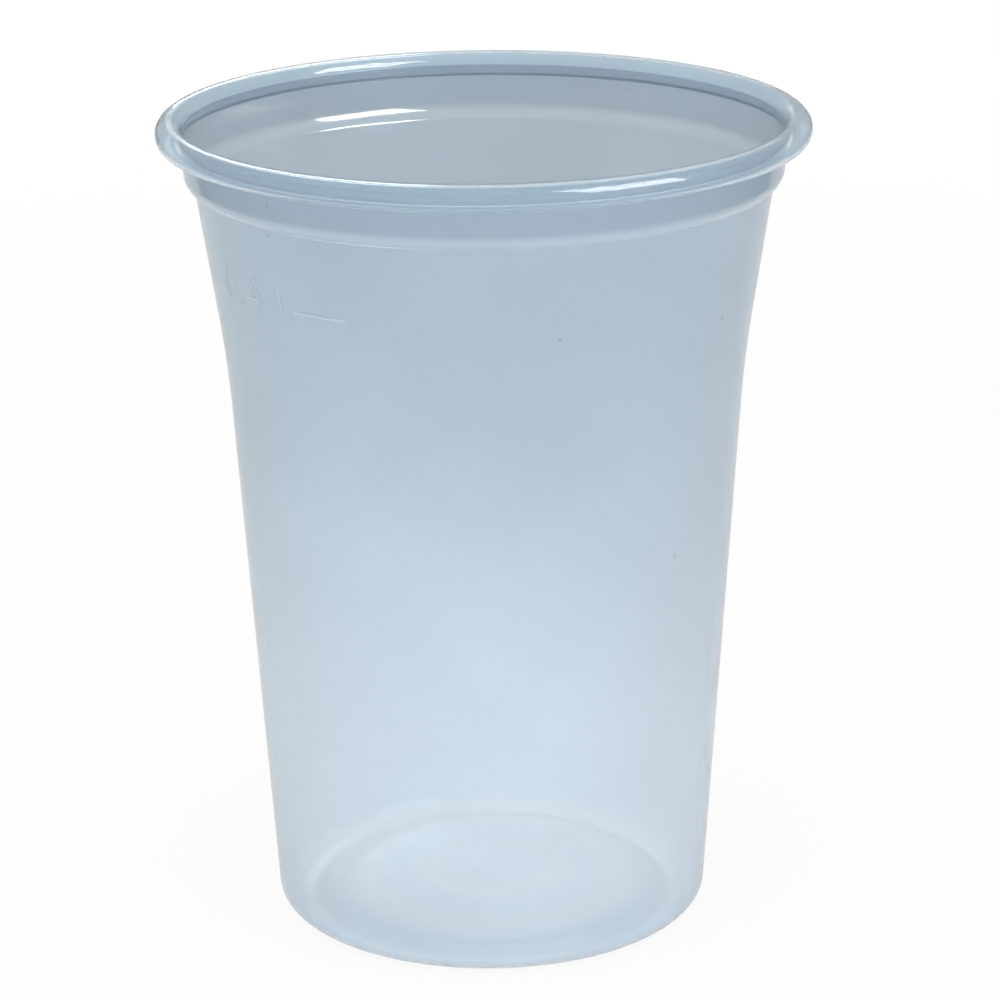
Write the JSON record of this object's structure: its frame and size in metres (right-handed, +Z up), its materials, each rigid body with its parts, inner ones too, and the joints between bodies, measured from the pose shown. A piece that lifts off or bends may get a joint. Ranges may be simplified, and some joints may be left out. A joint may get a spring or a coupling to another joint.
{
  "type": "plastic disposable cup",
  "caption": "Translucent one-piece drinking cup with a rolled rim, a stacking shoulder, a tapered wall that flares to the mouth and a stepped, recessed base.",
  "frame": {"origin": "middle of the standing ring, on the ground", "axes": "+Z up along the cup's axis, towards the open mouth; round about +Z"},
  "size_m": [0.095, 0.095, 0.1215],
  "materials": {
    "cup": "translucent, softly milky, smooth moulded surface"
  },
  "bodies": {
    "root": {"cup": "cup"}
  },
  "joints": []
}
